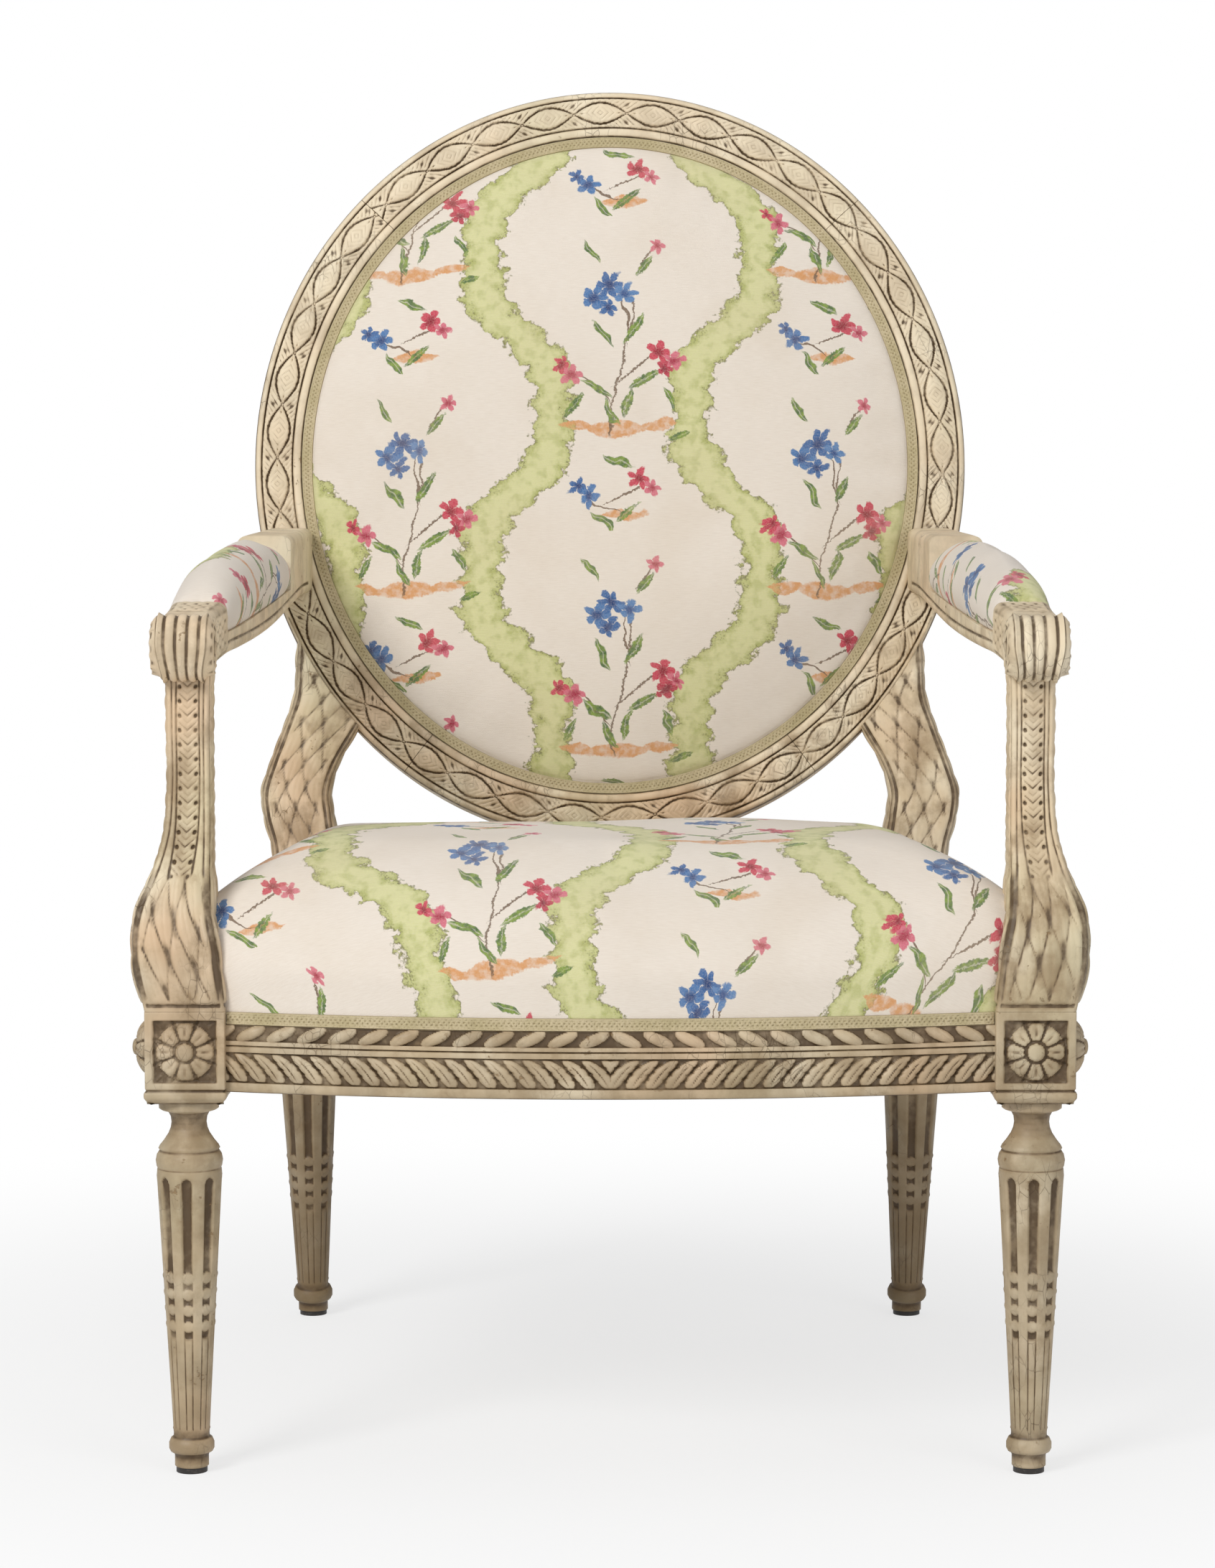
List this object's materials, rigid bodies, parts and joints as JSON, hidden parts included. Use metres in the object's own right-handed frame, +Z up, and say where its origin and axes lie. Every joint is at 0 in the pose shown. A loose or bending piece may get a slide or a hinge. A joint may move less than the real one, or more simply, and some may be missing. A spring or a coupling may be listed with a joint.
{
  "type": "upholstered armchair",
  "caption": "Oval-backed armchair with a carved and painted wood frame, stuffed seat, back and arm pads, bowed front rail and turned, fluted legs.",
  "frame": {"origin": "middle of the chair's footprint, on the floor", "axes": "+Z up, -Y to the front of the seat, +X to the right of someone looking at the chair's front"},
  "size_m": [0.6669, 0.6907, 1.0093],
  "materials": {
    "painted_wood": "aged cream paint over carved beech, worn and glazed in the hollows",
    "bare_beech": "bare beech",
    "printed_cotton": "woven print of ribbons and sprigs on a cream ground, matt",
    "stuffing": "horsehair under cotton wadding and calico",
    "gimp_braid": "flat woven gimp braid, matt",
    "jute_webbing": "herringbone jute webbing",
    "hessian": "plain hessian",
    "screw_steel": "dull steel",
    "glide_plastic": "dark nylon"
  },
  "bodies": {
    "root": {"arm_cover_left": "printed_cotton", "arm_cover_right": "printed_cotton", "arm_dowels": "bare_beech", "arm_left": "painted_wood", "arm_pad_left": "stuffing", "arm_pad_right": "stuffing", "arm_right": "painted_wood", "arm_support_left": "painted_wood", "arm_support_right": "painted_wood", "back_cover": "printed_cotton", "back_gimp": "gimp_braid", "back_hessian": "hessian", "back_stuffing": "stuffing", "back_webbing": "jute_webbing", "corner_block_front_left": "bare_beech", "corner_block_front_right": "bare_beech", "corner_block_rear_left": "bare_beech", "corner_block_rear_right": "bare_beech", "corner_screws": "screw_steel", "foot_glides": "glide_plastic", "front_leg_left": "painted_wood", "front_leg_right": "painted_wood", "front_rail": "painted_wood", "outer_back_cover": "printed_cotton", "outer_back_gimp": "gimp_braid", "oval_bottom": "painted_wood", "oval_dowels": "bare_beech", "oval_left": "painted_wood", "oval_right": "painted_wood", "oval_top": "painted_wood", "rear_post_left": "painted_wood", "rear_post_right": "painted_wood", "rear_rail": "painted_wood", "seat_cover": "printed_cotton", "seat_gimp": "gimp_braid", "seat_hessian": "hessian", "seat_stuffing": "stuffing", "seat_webbing": "jute_webbing", "side_rail_left": "painted_wood", "side_rail_right": "painted_wood", "stile_dowels": "bare_beech", "tenon_pegs": "bare_beech"}
  },
  "joints": []
}
